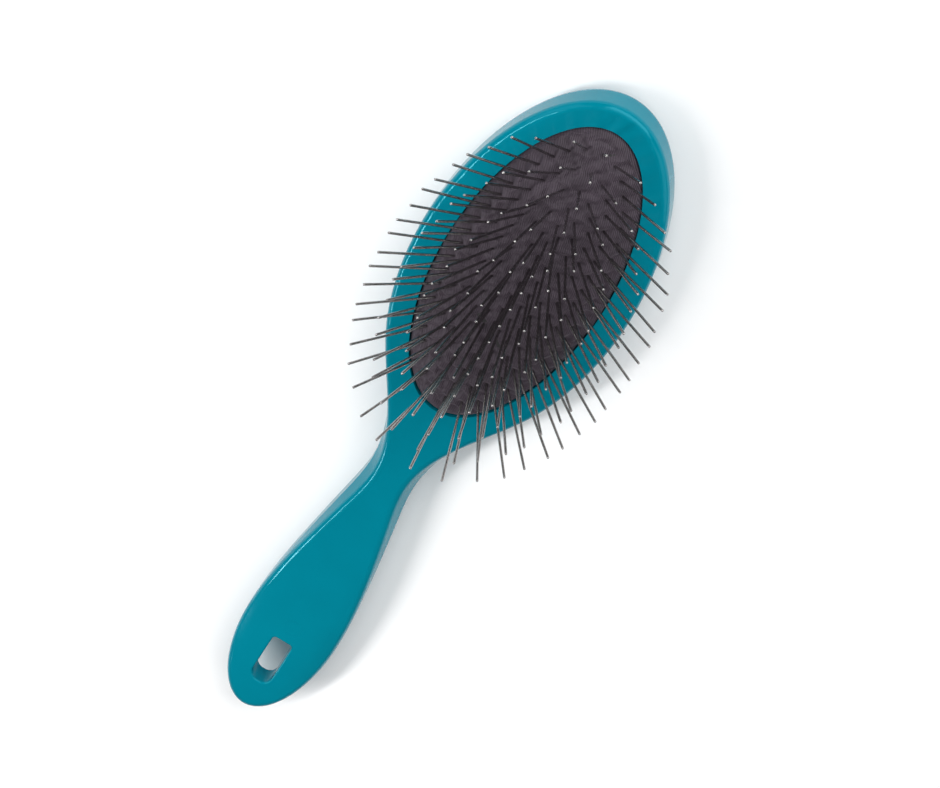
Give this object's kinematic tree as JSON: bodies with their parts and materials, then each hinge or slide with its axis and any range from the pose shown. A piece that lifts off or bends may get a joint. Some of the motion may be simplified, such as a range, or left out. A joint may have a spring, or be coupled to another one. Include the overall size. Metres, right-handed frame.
{
  "type": "pet pin brush",
  "caption": "Oval cushion pin brush for grooming pets: hollow moulded handle and frame, with a sprung fabric-faced rubber pad that carries splayed steel pins.",
  "frame": {"origin": "under the middle of the brush's length, on the plane that its back rests on", "axes": "+Z out through the pins, +Y towards the tip of the head, +X across the brush"},
  "size_m": [0.0754, 0.23, 0.0432],
  "materials": {
    "moulded_plastic": "glossy teal moulded plastic",
    "ring_plastic": "dark moulded plastic",
    "cushion_rubber": "soft black rubber",
    "cushion_fabric": "fine dark plum-black woven facing, bonded to the rubber",
    "backing_plastic": "thin grey plastic sheet",
    "pin_steel": "polished steel wire with rounded tips"
  },
  "bodies": {
    "brush_body": {"front_shell": "moulded_plastic", "back_shell": "moulded_plastic", "clamp_ring": "ring_plastic", "cushion_membrane": "cushion_rubber", "fabric_facing": "cushion_fabric", "pin_backing_sheet": "backing_plastic"},
    "centre_pins": {"pins_centre_row": "pin_steel"},
    "ring_1_pins": {"pins_ring_1_tip_left": "pin_steel", "pins_ring_1_neck_left": "pin_steel", "pins_ring_1_neck_right": "pin_steel", "pins_ring_1_tip_right": "pin_steel"},
    "ring_2_pins": {"pins_ring_2_tip_left": "pin_steel", "pins_ring_2_neck_left": "pin_steel", "pins_ring_2_neck_right": "pin_steel", "pins_ring_2_tip_right": "pin_steel"},
    "ring_3_pins": {"pins_ring_3_tip_left": "pin_steel", "pins_ring_3_neck_left": "pin_steel", "pins_ring_3_neck_right": "pin_steel", "pins_ring_3_tip_right": "pin_steel"},
    "ring_4_pins": {"pins_ring_4_tip_left": "pin_steel", "pins_ring_4_neck_left": "pin_steel", "pins_ring_4_neck_right": "pin_steel", "pins_ring_4_tip_right": "pin_steel"},
    "ring_5_pins": {"pins_ring_5_tip_left": "pin_steel", "pins_ring_5_neck_left": "pin_steel", "pins_ring_5_neck_right": "pin_steel", "pins_ring_5_tip_right": "pin_steel"}
  },
  "joints": [
    {"name": "cushion_press", "type": "slide", "parent": "brush_body", "child": "centre_pins", "axis": [0, 0, -1], "range_m": [0, 0.003], "stiffness_N_per_m": 1200, "deforming": ["cushion_membrane", "fabric_facing", "pin_backing_sheet"]},
    {"name": "ring_1_sink", "type": "slide", "parent": "brush_body", "child": "ring_1_pins", "axis": [0, 0, -1], "range_m": [0, 0.00302]},
    {"name": "ring_2_sink", "type": "slide", "parent": "brush_body", "child": "ring_2_pins", "axis": [0, 0, -1], "range_m": [0, 0.00292]},
    {"name": "ring_3_sink", "type": "slide", "parent": "brush_body", "child": "ring_3_pins", "axis": [0, 0, -1], "range_m": [0, 0.0027]},
    {"name": "ring_4_sink", "type": "slide", "parent": "brush_body", "child": "ring_4_pins", "axis": [0, 0, -1], "range_m": [0, 0.00223]},
    {"name": "ring_5_sink", "type": "slide", "parent": "brush_body", "child": "ring_5_pins", "axis": [0, 0, -1], "range_m": [0, 0.00139]}
  ],
  "couplings": [
    {"joint": "ring_1_sink", "follows": "cushion_press", "ratio": 0.986},
    {"joint": "ring_2_sink", "follows": "cushion_press", "ratio": 0.955},
    {"joint": "ring_3_sink", "follows": "cushion_press", "ratio": 0.881},
    {"joint": "ring_4_sink", "follows": "cushion_press", "ratio": 0.73},
    {"joint": "ring_5_sink", "follows": "cushion_press", "ratio": 0.454}
  ]
}
